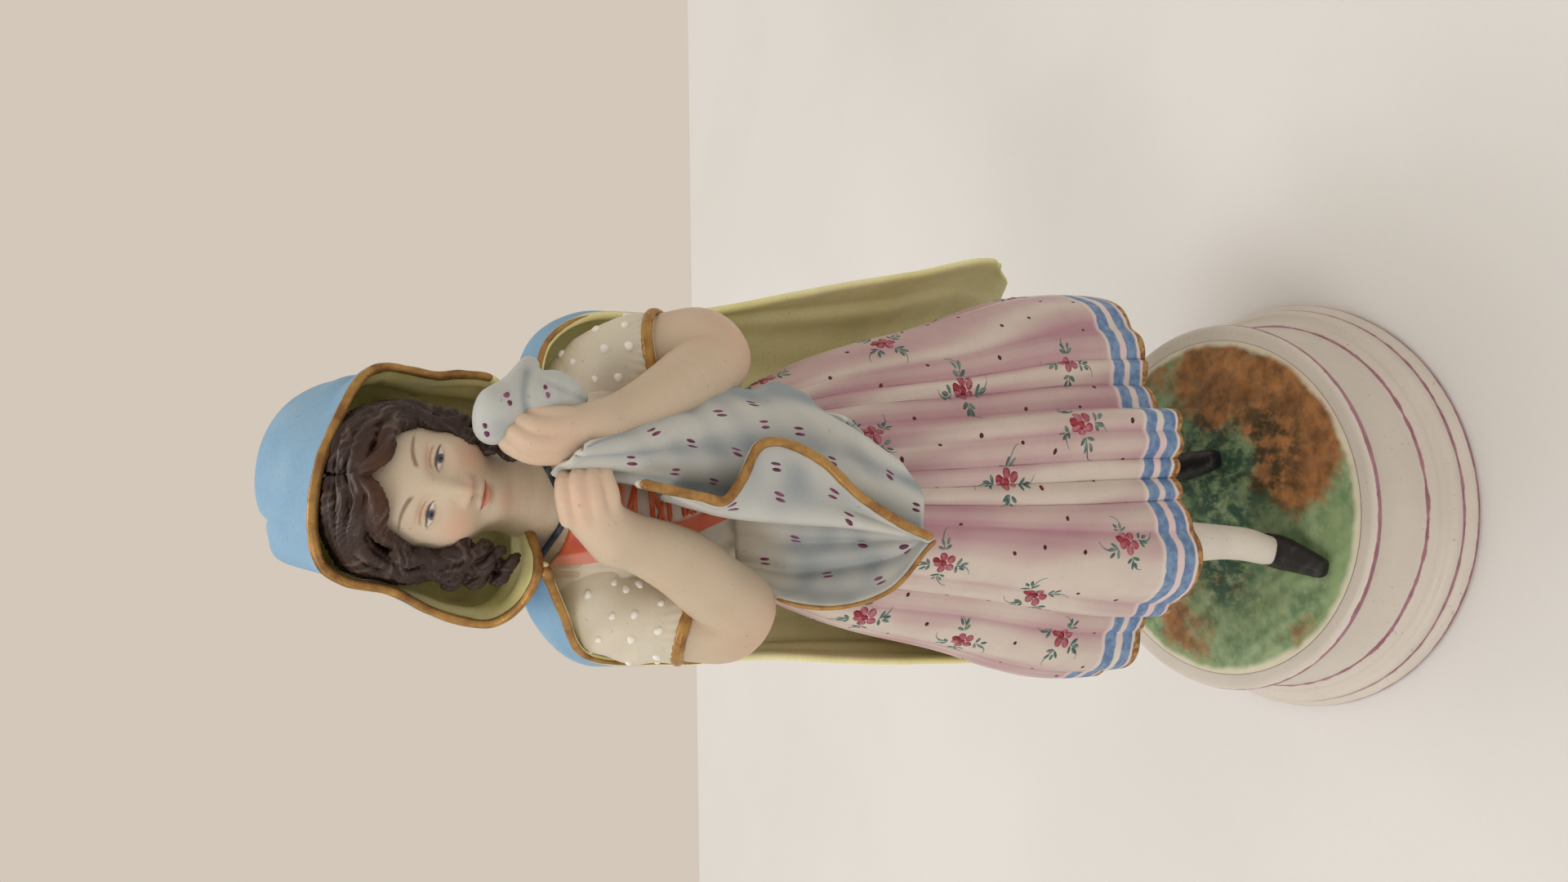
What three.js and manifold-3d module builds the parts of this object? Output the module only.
// A painted porcelain figurine: a girl in a hooded cape, gathering up the corner of her apron.
// She stands on a round moulded plinth. Millimetres, +Z up, she faces -Y, and the origin is the
// centre of the plinth's flat underside. "Right" and "left" are her own, so right is towards -X.
import * as THREE from 'three';
import { mergeVertices } from 'three/addons/utils/BufferGeometryUtils.js';
import Module from 'manifold-3d';

const wasm = await Module();
wasm.setup();

// ---------------------------------------------------------------- driving dimensions
const GAP = 0.3;                // clearance between neighbouring castings
const PLINTH_HEIGHT = 30.3;
const PLINTH_TOP_RADIUS = 50;
const PLINTH_FOOT_RADIUS = 57;
const PLINTH_WALL = 4;
const VENT_RADIUS = 4;          // firing vent through the underside
const VENT_Y = 22;
const GROUND_RADIUS = 45.7;
const GROUND_RECESS = 1.5;
const FIGURE_X = 7;             // the figure's own axis, a little to one side of the plinth's
const SHOE_Z = 31.1;            // sole height
const HEM_Z = 73;
const WAIST_Z = 176;
const SKIRT_WALL = 2;
const HEM_HALF_WIDTH = 48.5;
const HEM_BACK_DEPTH = 40;
const WAIST_HALF_WIDTH = 20.5;
const WAIST_HALF_DEPTH = 13;
const HEAD_CENTRE = [8.4, -9.5, 247.9];
const HEAD_RADII = [11.1, 12.4, 14.8];
const HEAD_BOW = 0.22;          // radians forward
const HEAD_LEAN = 0.12;         // radians towards her left shoulder
const HOOD_WALL = 1.8;
const CAPE_WALL = 1.8;
const APRON_WALL = 1.6;
const TRIM_RADIUS = 1.0;        // gold cord along the hood and the cape
const PIPING_RADIUS = 1.35;     // thicker gold cord on the apron's turned edge

// ---------------------------------------------------------------- colours
const COLOUR = {
  bisque: 0xece6dc, skin: 0xe3c3a8, hair: 0x46352b, blue: 0x7fb2d8, lining: 0xb9b06a,
  gold: 0xa8752f, chemise: 0xe9e6df, coral: 0xcf6a45, ribbon: 0x3b4250, apron: 0xd5dce2,
  skirt: 0xdcc2c8, shoe: 0x26282a, ground: 0x6d8a5e,
};

// ---------------------------------------------------------------- shape helpers
const vec = (p) => new THREE.Vector3(p[0], p[1], p[2]);
const smooth = (points, closed = false) =>
  new THREE.CatmullRomCurve3(points.map(vec), closed, 'centripetal');

// A closed three.js geometry as a manifold solid with its faces pointing out.
function solid(geometry) {
  geometry.deleteAttribute('normal');
  geometry.deleteAttribute('uv');
  const merged = mergeVertices(geometry, 1e-3);
  const vertProperties = new Float32Array(merged.attributes.position.array);
  const triVerts = new Uint32Array(merged.index.array);
  const made = new wasm.Manifold(new wasm.Mesh({ numProp: 3, vertProperties, triVerts }));
  if (made.volume() > 0) return made;
  for (let i = 0; i < triVerts.length; i += 3) {
    [triVerts[i + 1], triVerts[i + 2]] = [triVerts[i + 2], triVerts[i + 1]];
  }
  return new wasm.Manifold(new wasm.Mesh({ numProp: 3, vertProperties, triVerts }));
}

// Moves every vertex of a geometry through a function of its position.
function warp(geometry, place) {
  const at = geometry.attributes.position;
  for (let i = 0; i < at.count; i++) {
    const p = place(at.getX(i), at.getY(i), at.getZ(i));
    at.setXYZ(i, p.x, p.y, p.z);
  }
  return geometry;
}

// A solid of revolution about Z from [radius, height] pairs that start and end on the axis.
function turned(profile, sectors) {
  const points = profile.map(([r, z]) => new THREE.Vector2(r, z));
  return solid(new THREE.LatheGeometry(points, sectors).rotateX(Math.PI / 2));
}

// A solid filled from section to section: place(angle, share of radius, share of length).
function sectioned(place, sectors, steps) {
  const blank = new THREE.CylinderGeometry(1, 1, 1, sectors, steps);
  return solid(warp(blank, (x, y, z) => place(Math.atan2(z, x), Math.hypot(x, z), y + 0.5)));
}

// A limb through stations [x, y, z, half width, half depth]. The width lies square to `ref`.
function limb(stations, ref, sectors = 12, steps = 10) {
  const path = smooth(stations);
  const size = smooth(stations.map((s) => [s[3], s[4], 0]));
  return sectioned((angle, radius, along) => {
    const share = path.getUtoTmapping(along);
    const side = vec(ref).cross(path.getTangent(share)).normalize();
    const depth = path.getTangent(share).cross(side).normalize();
    const half = size.getPoint(share);
    return path.getPoint(share)
      .addScaledVector(side, radius * half.x * Math.cos(angle))
      .addScaledVector(depth, radius * half.y * Math.sin(angle));
  }, sectors, steps);
}

// A round cord of one radius with short tapered ends.
function cord(points, radius, sectors, steps) {
  const path = smooth(points);
  return sectioned((angle, share, along) => {
    const tangent = path.getTangentAt(along);
    const side = new THREE.Vector3(0, -1, 0.2).cross(tangent).normalize();
    const up = tangent.clone().cross(side);
    const size = radius * share * Math.min(1, 0.5 + 8 * Math.min(along, 1 - along));
    return path.getPointAt(along)
      .addScaledVector(side, size * Math.cos(angle))
      .addScaledVector(up, size * Math.sin(angle));
  }, sectors, steps);
}

// A smooth surface through rows of points, as a function of (across, along), each 0 to 1.
function surface(rows) {
  const curves = rows.map((row) => smooth(row));
  return (across, along) =>
    new THREE.CatmullRomCurve3(curves.map((c) => c.getPoint(across)), false, 'centripetal').getPoint(along);
}

// A sheet of even wall thickness on a surface.
function sheet(at, wall, nu, nv) {
  const step = 0.01;
  const blank = new THREE.BoxGeometry(1, 1, 1, nu, nv, 1);
  return solid(warp(blank, (x, y, z) => {
    const u = x + 0.5;
    const v = y + 0.5;
    const across = at(Math.min(1, u + step), v).sub(at(Math.max(0, u - step), v));
    const along = at(u, Math.min(1, v + step)).sub(at(u, Math.max(0, v - step)));
    return at(u, v).addScaledVector(across.cross(along).normalize(), z * wall);
  }));
}

// An ellipsoid, with an optional change to each unit direction before scaling.
function ellipsoid(centre, radii, across = 20, up = 14, shape = (n) => n) {
  return solid(warp(new THREE.SphereGeometry(1, across, up), (x, y, z) =>
    shape(new THREE.Vector3(x, -z, y)).multiply(vec(radii)).add(vec(centre))));
}

function geometryOf(made) {
  const mesh = made.getMesh();
  const geometry = new THREE.BufferGeometry();
  geometry.setAttribute('position', new THREE.BufferAttribute(mesh.vertProperties, 3));
  geometry.setIndex(new THREE.BufferAttribute(mesh.triVerts, 1));
  geometry.computeVertexNormals();
  return geometry;
}

// The solid with its skin pushed out by the clearance.
function grown(made) {
  const geometry = geometryOf(made);
  const at = geometry.attributes.position;
  const normal = geometry.attributes.normal;
  for (let i = 0; i < at.count; i++) {
    at.setXYZ(i, at.getX(i) + GAP * 1.15 * normal.getX(i), at.getY(i) + GAP * 1.15 * normal.getY(i),
      at.getZ(i) + GAP * 1.15 * normal.getZ(i));
  }
  return solid(geometry);
}

const largest = (made) =>
  made.decompose().reduce((best, piece) => (piece.volume() > best.volume() ? piece : best));

// What is left of a solid clear of its neighbours. Pushing a sharp crease out can leave a sliver
// of the neighbour behind, so the neighbour itself is cut away too.
function clearOf(made, ...neighbours) {
  return largest(neighbours.reduce((left, other) => left.subtract(grown(other)).subtract(other), made));
}

// ---------------------------------------------------------------- plinth and ground
function makePlinth() {
  const outside = turned([
    [0, 0], [PLINTH_FOOT_RADIUS, 0], [PLINTH_FOOT_RADIUS, 1.8], [PLINTH_FOOT_RADIUS - 1.4, 3.8],
    [55.4, 6], [53.4, 8.4], [51, 10.6], [49.2, 16], [48.6, 21], [49.2, 27],
    [PLINTH_TOP_RADIUS, 29.3], [PLINTH_TOP_RADIUS - 1, PLINTH_HEIGHT + 0.2],
    [GROUND_RADIUS + GAP, PLINTH_HEIGHT], [GROUND_RADIUS + GAP, PLINTH_HEIGHT - GROUND_RECESS],
    [0, PLINTH_HEIGHT - GROUND_RECESS],
  ], 36);
  const ceiling = PLINTH_HEIGHT - GROUND_RECESS - PLINTH_WALL;
  const hollow = turned([
    [0, PLINTH_WALL], [50, PLINTH_WALL], [46, 12], [44, ceiling], [0, ceiling],
  ], 24);
  const vent = turned([[0, -1], [VENT_RADIUS, -1], [VENT_RADIUS, PLINTH_WALL + 1], [0, PLINTH_WALL + 1]], 12)
    .translate([0, VENT_Y, 0]);
  return outside.subtract(hollow.add(vent));
}

// The modelled earth: a disc with a low uneven top that sits in the plinth's recess.
function makeGround() {
  const floor = PLINTH_HEIGHT - GROUND_RECESS + GAP;
  const disc = turned([
    [0, 0], [GROUND_RADIUS, 0], [GROUND_RADIUS, 1.1], [44, 1.5], [32, 1.5], [16, 1.5], [0, 1.5],
  ], 28);
  return disc.warp((p) => {
    const relief = 0.09 * Math.sin(p[0] * 0.31 + 1) * Math.cos(p[1] * 0.27) - 0.09;
    p[2] = floor + p[2] + (p[2] > 1.3 && Math.hypot(p[0], p[1]) < 43 ? relief : 0);
  });
}

// ---------------------------------------------------------------- feet and legs
// A low slipper from heel to toe, its stations [x, y, half width, half height] resting on the ground.
const shoe = (stations) =>
  limb(stations.map(([x, y, wide, high]) => [x, y, SHOE_Z + high, wide, high]), [0, 0, 1], 10, 7);

const shoeRight = shoe([
  [-2.6, -7.5, 2.2, 2.4], [-4, -11, 3.4, 3.5], [-7.6, -19, 3.7, 3.5], [-11.4, -27.5, 4.2, 3], [-14.4, -34.2, 3.7, 2.1],
  [-15.2, -36, 2.6, 1.5],
]);
const shoeLeft = shoe([
  [9.2, 25, 2.2, 2.4], [9.5, 21.5, 3.4, 3.5], [10.3, 13, 3.7, 3.5], [11.2, 4, 4.2, 3], [12, -2.2, 3.7, 2.1],
  [12.2, -4, 2.6, 1.5],
]);
const stockingRight = clearOf(limb([
  [-11.6, -27.5, 34, 3.4, 4.6], [-10.4, -25, 40, 4.1, 4.6], [-8.6, -22.8, 51, 4.3, 4.5],
  [-7.8, -22, 64, 4.9, 5], [-4.5, -16, 95, 6.6, 6.6], [-2.5, -8, 140, 7.2, 7.2], [-2.5, -6, 168, 7.4, 7.4],
], [0, 1, 0], 10, 10), shoeRight);
const stockingLeft = clearOf(limb([
  [11, 10, 34, 3.4, 4.6], [10.4, 14.5, 40, 4.1, 4.6], [10.4, 16, 51, 4.3, 4.5],
  [10.6, 14, 64, 4.9, 5], [12, 9, 95, 6.6, 6.6], [15.5, 3, 140, 7.2, 7.2], [16, 1, 168, 7.4, 7.4],
], [0, 1, 0], 10, 10), shoeLeft);

// ---------------------------------------------------------------- skirt
// The hem's plan: a box panel that stands proud in front, stepped pleats beside it, even folds behind.
function hemPlan() {
  const front = [
    [-42, -1], [-38.5, -10.5], [-31, -15.5], [-26, -18], [-24, -25.5], [-16.5, -33], [-8.5, -34.6],
    [1, -31], [9, -28.6], [16.5, -31.2], [22.5, -30.8], [25, -25], [31, -20], [39.5, -19], [48.5, -14], [55, -3],
  ];
  const folds = 11;
  const back = [];
  for (let i = 1; i <= folds; i++) {
    const angle = (Math.PI * i) / (folds + 1);
    const depth = 1 + (i % 2 ? 0.035 : -0.035);
    back.push([FIGURE_X + HEM_HALF_WIDTH * depth * Math.cos(angle), 1 + HEM_BACK_DEPTH * depth * Math.sin(angle)]);
  }
  return smooth([...front, ...back].map(([x, y]) => [x, y, 0]), true);
}

// A bell whose sections pass from the waist's ellipse to the hem's plan, drawn in by `inset`.
function bell(inset, top, bottom) {
  const hem = hemPlan();
  return sectioned((angle, radius, along) => {
    const z = THREE.MathUtils.lerp(bottom, top, along);
    const drop = Math.min(1, (WAIST_Z - Math.max(z, HEM_Z)) / (WAIST_Z - HEM_Z));
    const spread = Math.sin((Math.max(0, drop) * Math.PI) / 2) ** 0.9;
    const turn = (angle / (2 * Math.PI) + 1) % 1;
    const rim = hem.getPointAt(turn);
    const lean = Math.atan2((rim.y - 1) / 36, (rim.x - FIGURE_X) / HEM_HALF_WIDTH);
    const waist = vec([WAIST_HALF_WIDTH * Math.cos(lean), WAIST_HALF_DEPTH * Math.sin(lean), 0]);
    const out = rim.sub(vec([FIGURE_X, 1, 0])).lerp(waist, 1 - spread);
    out.setLength(out.length() - inset).multiplyScalar(radius);
    return out.add(vec([FIGURE_X, 1, z]));
  }, 44, 5);
}

const skirt = bell(0, WAIST_Z, HEM_Z).subtract(bell(SKIRT_WALL, WAIST_Z - 3, HEM_Z - 4));

// ---------------------------------------------------------------- body and stays
const bodice = clearOf(limb([
  [7, 0, WAIST_Z + GAP, 19, 12.6], [7, -0.5, 185, 19.5, 13], [7.3, -1.5, 195, 21.5, 15],
  [7.5, -2.5, 205, 24, 16.5], [7.5, -2, 213, 25, 14.5], [7.5, -2, 219, 19, 11], [7, -3, 223, 10, 8],
], [0, 1, 0], 20, 8), skirt);

// The laced front: a V that hugs the chest from the neckline to a point at the waist.
const staysSurface = surface([
  [[-7, -10, 221.5], [-3, -14, 220], [7.5, -16.5, 219], [18, -14, 220], [22, -10, 221.5]],
  [[-5.5, -19.5, 210], [-1, -21, 210], [7.5, -21.5, 210], [16, -21, 210], [20.5, -19.5, 210]],
  [[-2.5, -19.5, 198], [1, -20.5, 198], [7, -20.8, 198], [13, -20.5, 198], [16.5, -19.5, 198]],
  [[1.5, -16.5, 186], [3.5, -17, 186], [6, -17, 186], [8.5, -17, 186], [10.5, -16.5, 186]],
]);
const stays = clearOf(sheet(staysSurface, 2.4, 6, 6), bodice);

// ---------------------------------------------------------------- head and hair
const headTurn = new THREE.Matrix4()
  .makeTranslation(...HEAD_CENTRE)
  .multiply(new THREE.Matrix4().makeRotationFromEuler(new THREE.Euler(HEAD_BOW, HEAD_LEAN, 0)))
  .multiply(new THREE.Matrix4().makeTranslation(...HEAD_CENTRE.map((c) => -c)));

// A plain egg that narrows to the chin, with a small wedge for the nose.
function makeHead() {
  const egg = ellipsoid(HEAD_CENTRE, HEAD_RADII, 16, 11, (n) => {
    const low = Math.max(0, -n.z);
    return n.set(n.x * (1 - 0.34 * low * low), n.y - 0.26 * low * low, n.z);
  });
  const [x, y, z] = HEAD_CENTRE;
  const front = y - HEAD_RADII[1];
  const nose = limb([
    [x, front + 1.6, z + 2.5, 0.8, 0.9], [x, front + 0.4, z - 1, 1.2, 1.3], [x, front + 0.2, z - 4, 1.8, 1.7],
    [x, front + 1.6, z - 5.4, 1.2, 1],
  ], [0, 1, 0], 8, 5);
  return egg.add(nose).transform(headTurn.toArray());
}

const neck = limb([
  [6.8, -4.5, 215, 8.6, 8], [7, -5.5, 222, 7, 6.8], [7.8, -7.5, 232, 6.4, 6.6], [8.3, -8.5, 242, 6.2, 6.4],
], [0, 1, 0], 12, 4);
const head = largest(makeHead().add(neck).subtract(grown(bodice)));

const hair = clearOf(
  ellipsoid([7.2, -7.6, 250.4], [16, 15.8, 14.9], 16, 10, (n) => {
    const wave = 1 + 0.035 * Math.sin(5 * Math.atan2(n.x, n.z) + 3 * n.y);
    return n.multiplyScalar(wave);
  }).subtract(ellipsoid([8.4, -26, 243.4], [12.6, 15.8, 14.6], 14, 10)).trimByPlane([0, 0, 1], 237),
  head,
);

// Long ringlets, lumpy along their length.
function ringlet(x, y, top, bottom, radius) {
  const stations = [];
  const lumps = 7;
  for (let i = 0; i <= lumps; i++) {
    const down = i / lumps;
    const size = radius * (1 - 0.25 * down) * (i % 2 ? 1.08 : 0.92);
    stations.push([x[0] + (x[1] - x[0]) * down, y[0] + (y[1] - y[0]) * down, top + (bottom - top) * down, size, size]);
  }
  return limb(stations, [0, 1, 0], 8, 10);
}
const ringletRight = clearOf(ringlet([-5.6, -4.6], [-12, -15.5], 246, 228.6, 5), head, hair, bodice);
const ringletLeft = clearOf(ringlet([21, 16.8], [-11, -13], 246, 231, 4.4), head, hair, bodice);

// ---------------------------------------------------------------- hood
// Two closed rims, both from the nape round by her left: the front opening, and the fullest section.
const HOOD_MOUTH = [
  [10, 3, 226.5], [29.5, -4.5, 229.5], [31.2, -4, 240], [32, -4.6, 250], [29.4, -7, 255], [20, -12, 261],
  [11, -14, 264.8], [1, -13.4, 266.2], [-6.8, -12, 264.6], [-9.5, -12, 255], [-13.5, -12, 245],
  [-18.2, -12, 235], [-14, -15, 229.6], [-7, -18.5, 227.6],
];
const HOOD_MIDDLE = [
  [10, 12, 225], [29.5, 4, 228.5], [31.2, 4, 241], [31, 4, 252], [29.5, 5, 258.5], [25.5, 6, 266],
  [17.5, 6, 272.2], [7, 6, 273.4], [-3.6, 6, 271], [-8.6, 5, 267], [-11.5, 4, 253], [-17, 3, 239],
  [-15.5, 2, 230], [-8, 2, 226],
];
const hoodMouth = smooth(HOOD_MOUTH, true);
const hoodMiddle = smooth(HOOD_MIDDLE, true);
const HOOD_CORE = [9, 6, 247];

// The hood's skin at a turn round the rim and a depth: 0 at the mouth, 1 at the middle, 2 at the back.
function hoodAt(turn, depth) {
  const middle = hoodMiddle.getPoint(turn);
  if (depth < 1) return middle.lerp(hoodMouth.getPoint(turn), 1 - depth);
  const round = (depth - 1) * Math.PI * 0.47;
  const core = vec(HOOD_CORE);
  const out = middle.sub(core).multiplyScalar(Math.cos(round));
  return core.add(out).add(vec([0, 16.5 * Math.sin(round), 0]));
}

function hoodSolid(inset, from) {
  return sectioned((angle, radius, along) => {
    const point = hoodAt((angle / (2 * Math.PI) + 1) % 1, from + (2 - from) * along);
    const axis = vec([HOOD_CORE[0], point.y, HOOD_CORE[2]]);
    const out = point.sub(axis);
    const length = Math.max(0.5, out.length() - inset);
    if (inset) axis.y = Math.min(axis.y, HOOD_CORE[1] + 16.4 - inset);
    return axis.addScaledVector(out.setLength(length), radius);
  }, 26, 6);
}
const hoodBag = hoodSolid(0, 0).subtract(hoodSolid(HOOD_WALL, -0.35));
const hood = clearOf(hoodBag, bodice, hair, head, ringletRight, ringletLeft);

// ---------------------------------------------------------------- cape
// Rows from the neck to the hem, each from the right front edge round the back to the left.
const capeAt = surface([
  [[-7, -18, 225.6], [-7, -4, 226], [0, 10, 224], [9, 13, 223.6], [18, 11, 224], [26, -2, 226], [26.5, -12, 225]],
  [[-16.5, -14.5, 221.4], [-19.5, -3, 222.6], [-8, 14, 219], [9, 18, 218.6], [26, 15, 219], [38, 0, 222.4], [36.8, -7, 221.6]],
  [[-25.8, -6.5, 212.8], [-28, 3, 211], [-14, 19, 209], [8, 23, 209], [30, 20, 209], [44, 6, 211], [43.4, -2, 212.8]],
  [[-29.6, 1, 192], [-27.5, 10, 190], [-12, 22.5, 189], [8, 27, 189], [30, 24, 189], [44.5, 13, 190], [46.6, 4.5, 190]],
  [[-31.6, 8, 162], [-29.5, 18, 160], [-12, 30, 160], [8, 33, 160], [31, 31, 160], [49.5, 21, 160], [53, 10, 160]],
  [[-35, 13, 124], [-33, 27, 120], [-12, 38, 120], [8, 42, 120], [32, 39.5, 120], [56, 29, 120], [62, 17.5, 118]],
  [[-37.6, 16, 96], [-36, 31, 94], [-12.6, 42.6, 93], [8.6, 46, 92], [34, 43.5, 92], [61, 34, 91], [69, 21.4, 90]],
  [[-38, 17, 84], [-37, 33, 77], [-13, 45, 76], [9, 48, 75], [35, 45.5, 75], [59, 36, 75], [65, 23, 76]],
]);
const cape = clearOf(sheet(capeAt, CAPE_WALL, 16, 12), bodice, hood, skirt, ringletRight);

// ---------------------------------------------------------------- gold cords
const hoodEdge = HOOD_MOUTH.slice(1).map(([x, y, z]) => [x, y - 1.35, z]);
const hoodTrim = clearOf(cord(hoodEdge, TRIM_RADIUS, 6, 30), hood, cape);

function capeEdge(across, from, to, aside) {
  const points = [];
  const count = 9;
  for (let i = 0; i <= count; i++) {
    const at = capeAt(across, from + ((to - from) * i) / count);
    points.push([at.x + aside, at.y - 1.5, at.z + 0.4]);
  }
  return cord(points, TRIM_RADIUS, 6, 14);
}
const capeTrimRight = clearOf(capeEdge(0, 0.04, 0.53, -0.2), cape, hood, hoodTrim, bodice);
const capeTrimLeft = clearOf(capeEdge(1, 0.06, 0.53, 0.2), cape, hood, hoodTrim, bodice);

// ---------------------------------------------------------------- arms
const sleeveRight = clearOf(limb([
  [-10, -2, 214.5, 7, 7.5], [-15.5, -3.5, 212.5, 9, 9], [-19.4, -6, 206, 9.4, 9.6], [-20, -9.5, 199, 8.9, 9.1],
  [-20.2, -12.4, 193.6, 8.4, 8.6],
], [0, 1, 0], 14, 6), bodice, cape, stays, capeTrimRight);
const sleeveLeft = clearOf(limb([
  [25.4, -2, 214.5, 7, 7.5], [30.4, -3.5, 212.5, 8.6, 8.6], [33.6, -6, 207, 8.8, 9],
  [34.8, -8.5, 202.4, 8.3, 8.5], [35.4, -11.4, 198, 7.7, 8],
], [0, 1, 0], 14, 6), bodice, cape, stays, capeTrimLeft);
const forearmRight = clearOf(limb([
  [-20.8, -12.6, 193, 7.6, 7.8], [-20.6, -16, 187.6, 8.6, 8.6], [-16.5, -20.5, 187.8, 8.4, 8],
  [-8.4, -25.5, 196.5, 6.8, 6.8], [-2.5, -28.6, 206, 5.4, 5.2], [0.8, -29.6, 212.6, 4.6, 4.2],
], [0.6, 0.6, 0.5], 12, 9), sleeveRight, cape, bodice, stays);
const forearmLeft = clearOf(limb([
  [36.4, -11.4, 197, 7, 7.2], [36.6, -14, 192.5, 8.2, 8], [33, -17.5, 191.6, 8, 7.6],
  [26.5, -22.5, 200, 6.8, 6.6], [20.6, -26.4, 211, 5.4, 5.2], [17.6, -27.4, 220, 4.4, 4.4],
], [-0.6, 0.6, 0.5], 12, 9), sleeveLeft, cape, bodice, stays);

// A gold band round a sleeve's mouth.
function band(centre, axis, radius, ...neighbours) {
  const turn = new THREE.Quaternion().setFromUnitVectors(vec([0, 0, 1]), vec(axis).normalize());
  const ring = new THREE.TorusGeometry(radius, 1.25, 6, 20).applyQuaternion(turn).translate(...centre);
  return clearOf(solid(ring), ...neighbours);
}
const bandRight = band([-20.2, -12, 194.4], [-0.1, -0.55, -0.85], 8.7, sleeveRight, forearmRight, cape, bodice);
const bandLeft = band([35.3, -10.8, 199], [0.1, -0.65, -0.75], 8, sleeveLeft, forearmLeft, cape, bodice);

// A hand: a palm, four fingers and a thumb, joined.
function hand(palm, fingers, ref) {
  return fingers.reduce((made, finger) => made.add(limb(finger, ref, 6, 3)), limb(palm, ref, 10, 4));
}
const finger = (from, bend, tip, radius) => [
  [...from, radius, radius], [...bend, radius, radius], [...tip, radius * 0.8, radius * 0.8],
];
const handRight = clearOf(hand(
  [[0.9, -29.6, 213, 4.2, 3.4], [3.6, -29.4, 217.2, 5.2, 3.6], [6.4, -28.8, 219.6, 4.8, 3]],
  [
    finger([5, -29, 222.2], [9.4, -29, 222.6], [12, -27.4, 219.6], 1.75),
    finger([5.4, -30.2, 219.6], [10.2, -30.6, 220], [12.6, -28.6, 216.6], 1.85),
    finger([5, -31, 216.8], [9.8, -31.6, 217], [12, -29.6, 213.6], 1.8),
    finger([4, -31, 214.2], [8.4, -31.8, 213.8], [10.4, -30, 210.8], 1.6),
  ],
  [0.5, 0.6, 0.6],
), forearmRight, stays, bodice);
const handLeft = clearOf(hand(
  [[17.4, -27.4, 220.4, 4.2, 3.6], [16, -27.2, 225, 4.8, 3.8], [15.6, -26.4, 229.4, 4.6, 3.6]],
  [
    finger([13.4, -25, 229], [13.4, -26.2, 234], [16, -28.6, 236.6], 1.7),
    finger([13, -27, 227.4], [13, -29, 232.2], [15.8, -31.2, 234.4], 1.8),
    finger([13, -29, 225.4], [13.4, -31, 229.8], [16.4, -32.8, 231.6], 1.75),
    finger([14, -30, 223], [14.6, -32, 226.8], [17.4, -33.2, 228], 1.6),
  ],
  [-0.5, 0.6, 0.6],
), forearmLeft, head, ringletLeft, stays, bodice, cape, handRight);

// ---------------------------------------------------------------- apron
// The gathered corner that she holds to her cheek.
const apronBundle = clearOf(
  limb([
    [18, -26.5, 239.6, 2.4, 2.4], [20, -27, 236, 5, 4], [24, -27, 230.6, 6.4, 4.6],
    [25.6, -26, 225, 4.6, 4.2], [24.6, -24.6, 219.5, 3, 2.8],
  ], [0.3, 1, 0.2], 10, 7).warp((p) => {
    p[1] += 0.5 * Math.sin(p[0] * 1.1 + p[2] * 0.5);
  }),
  handLeft, forearmLeft, head, ringletLeft, sleeveLeft, cape, bodice, hood, stays,
);

// The hanging panel, from the left hand to its wavy lower edge; rows run top to bottom.
const panelAt = surface([
  [[10.5, -27, 226], [13, -33.2, 224], [15, -34.4, 222]],
  [[8.8, -27.5, 211], [13.2, -33.2, 212], [16.6, -32.6, 213]],
  [[5, -26, 198], [14, -31.5, 199], [24, -28, 200]],
  [[2, -26.5, 184], [14, -31.5, 185], [27, -24.5, 186]],
  [[0, -29, 170], [13, -32.5, 170], [27, -27, 172]],
  [[-2, -33, 153], [7, -34.5, 152.5], [17, -32.5, 159]],
]);
const apronPanel = clearOf(sheet(panelAt, APRON_WALL, 6, 12),
  handRight, handLeft, forearmLeft, forearmRight, stays, bodice, skirt, apronBundle);

// The turned-back flap, from its ridge to the corded edge, and the scoop that it opens out of.
const FLAP_RIDGE = [
  [6.4, -33.5, 206.5], [3.2, -33, 198], [1.6, -34.6, 184], [0, -36.4, 169], [-3.6, -38, 152.6],
];
const FLAP_EDGE = [
  [7.8, -35.6, 213], [4.6, -35.6, 199.6], [8.4, -35.9, 195.4], [15.4, -36.6, 190], [14.6, -37, 184],
  [4.4, -38, 167.4], [-3.2, -38.4, 152.2],
];
const FLAP_ROOT = [
  [5.6, -27, 205], [3.4, -25, 196], [2.6, -23, 183], [1.4, -26.5, 170], [-2.8, -35.4, 155],
];
const flapAt = surface([FLAP_ROOT, FLAP_RIDGE, FLAP_EDGE]);
const apronFlap = clearOf(sheet((u, v) => flapAt(v, u), APRON_WALL, 6, 12),
  apronPanel, handRight, stays, bodice, skirt, forearmRight);
const scoopAt = surface([
  [[-14.6, -17, 179.5], [-16.4, -26, 171.4], [-14.8, -31, 163], [-10.6, -35, 156], [-4.4, -37.4, 151.6]],
  [[-11.5, -11.5, 179], [-11.5, -19, 169.5], [-9.5, -25.5, 160.5], [-7, -31.5, 155], [-4, -36, 151.6]],
  [[-4, -14.4, 180.5], [-4.5, -19, 171], [-4, -25, 162], [-3.5, -31, 156], [-3.7, -35.4, 152]],
  [[1.6, -16, 181.5], [1.2, -21, 172], [0.2, -26.5, 163.5], [-1.8, -32, 157.5], [-3.4, -35.4, 152.6]],
]);
const apronScoop = clearOf(sheet((u, v) => scoopAt(v, u), APRON_WALL, 5, 10),
  apronPanel, apronFlap, bodice, skirt, forearmRight);

const pipingPath = [...FLAP_EDGE].map(([x, y, z]) => [x, y - 1.9, z + 0.2]);
const apronPiping = clearOf(cord(pipingPath, PIPING_RADIUS, 6, 22), apronFlap, apronPanel, apronScoop, handRight);

// ---------------------------------------------------------------- neck ribbon
const neckRibbon = clearOf(limb([
  [-6.4, -16.4, 224.4, 1.1, 0.7], [-2.6, -18.6, 222.6, 1.3, 0.7], [1.8, -20.2, 221, 1.3, 0.7],
  [7, -19.6, 222, 1.2, 0.7], [13, -17.6, 224.4, 1.1, 0.7],
], [0, 1, 0.3], 6, 10), bodice, stays, handRight, handLeft, head, cape, hood, hoodTrim, capeTrimRight);

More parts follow.
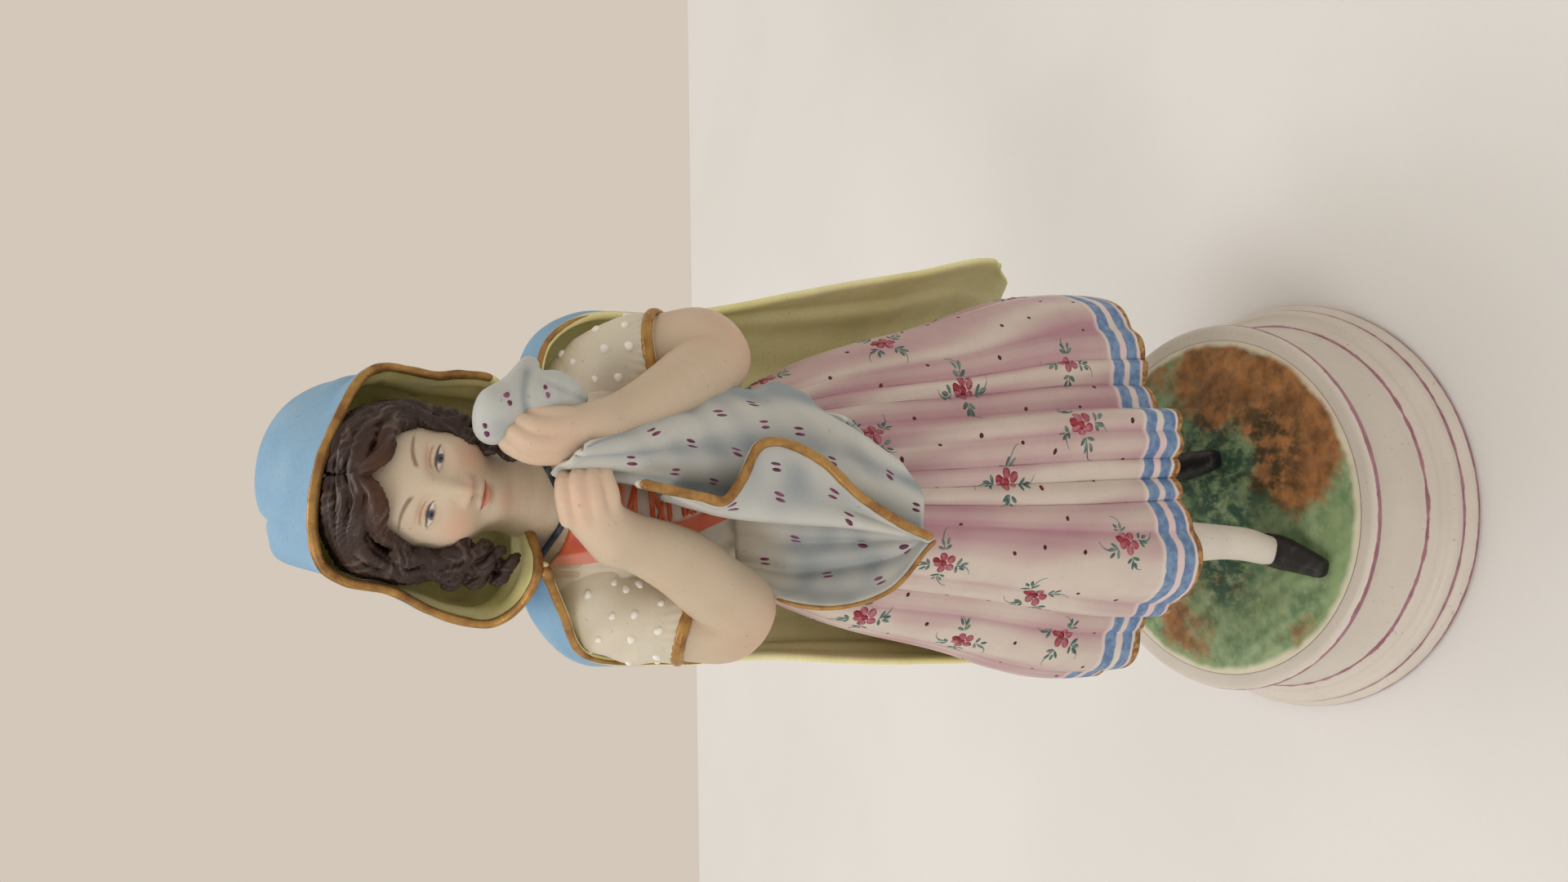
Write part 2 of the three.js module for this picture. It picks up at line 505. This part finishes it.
// ---------------------------------------------------------------- assembly
const porcelain = (colour) =>
  new THREE.MeshStandardMaterial({ color: colour, roughness: 0.55, metalness: 0 });
const gilding = new THREE.MeshStandardMaterial({ color: COLOUR.gold, roughness: 0.4, metalness: 0.6 });

const figurine = new THREE.Group();
const pieces = [
  ['plinth', makePlinth(), porcelain(COLOUR.bisque)],
  ['ground', makeGround(), porcelain(COLOUR.ground)],
  ['shoe_right', shoeRight, porcelain(COLOUR.shoe)],
  ['shoe_left', shoeLeft, porcelain(COLOUR.shoe)],
  ['stocking_right', clearOf(stockingRight, skirt), porcelain(COLOUR.bisque)],
  ['stocking_left', clearOf(stockingLeft, skirt), porcelain(COLOUR.bisque)],
  ['skirt', skirt, porcelain(COLOUR.skirt)],
  ['bodice', bodice, porcelain(COLOUR.chemise)],
  ['stays', stays, porcelain(COLOUR.coral)],
  ['head', head, porcelain(COLOUR.skin)],
  ['hair', hair, porcelain(COLOUR.hair)],
  ['ringlet_right', ringletRight, porcelain(COLOUR.hair)],
  ['ringlet_left', ringletLeft, porcelain(COLOUR.hair)],
  ['hood', hood, porcelain(COLOUR.blue)],
  ['cape', cape, porcelain(COLOUR.lining)],
  ['hood_trim', hoodTrim, gilding],
  ['cape_trim_right', capeTrimRight, gilding],
  ['cape_trim_left', capeTrimLeft, gilding],
  ['sleeve_right', sleeveRight, porcelain(COLOUR.chemise)],
  ['sleeve_left', sleeveLeft, porcelain(COLOUR.chemise)],
  ['sleeve_band_right', bandRight, gilding],
  ['sleeve_band_left', bandLeft, gilding],
  ['forearm_right', forearmRight, porcelain(COLOUR.skin)],
  ['forearm_left', forearmLeft, porcelain(COLOUR.skin)],
  ['hand_right', handRight, porcelain(COLOUR.skin)],
  ['hand_left', handLeft, porcelain(COLOUR.skin)],
  ['apron_panel', apronPanel, porcelain(COLOUR.apron)],
  ['apron_flap', apronFlap, porcelain(COLOUR.apron)],
  ['apron_scoop', apronScoop, porcelain(COLOUR.apron)],
  ['apron_bundle', apronBundle, porcelain(COLOUR.apron)],
  ['apron_piping', apronPiping, gilding],
  ['neck_ribbon', neckRibbon, porcelain(COLOUR.ribbon)],
];
for (const [name, made, material] of pieces) {
  const mesh = new THREE.Mesh(geometryOf(made), material);
  mesh.name = name;
  figurine.add(mesh);
}

export default figurine;
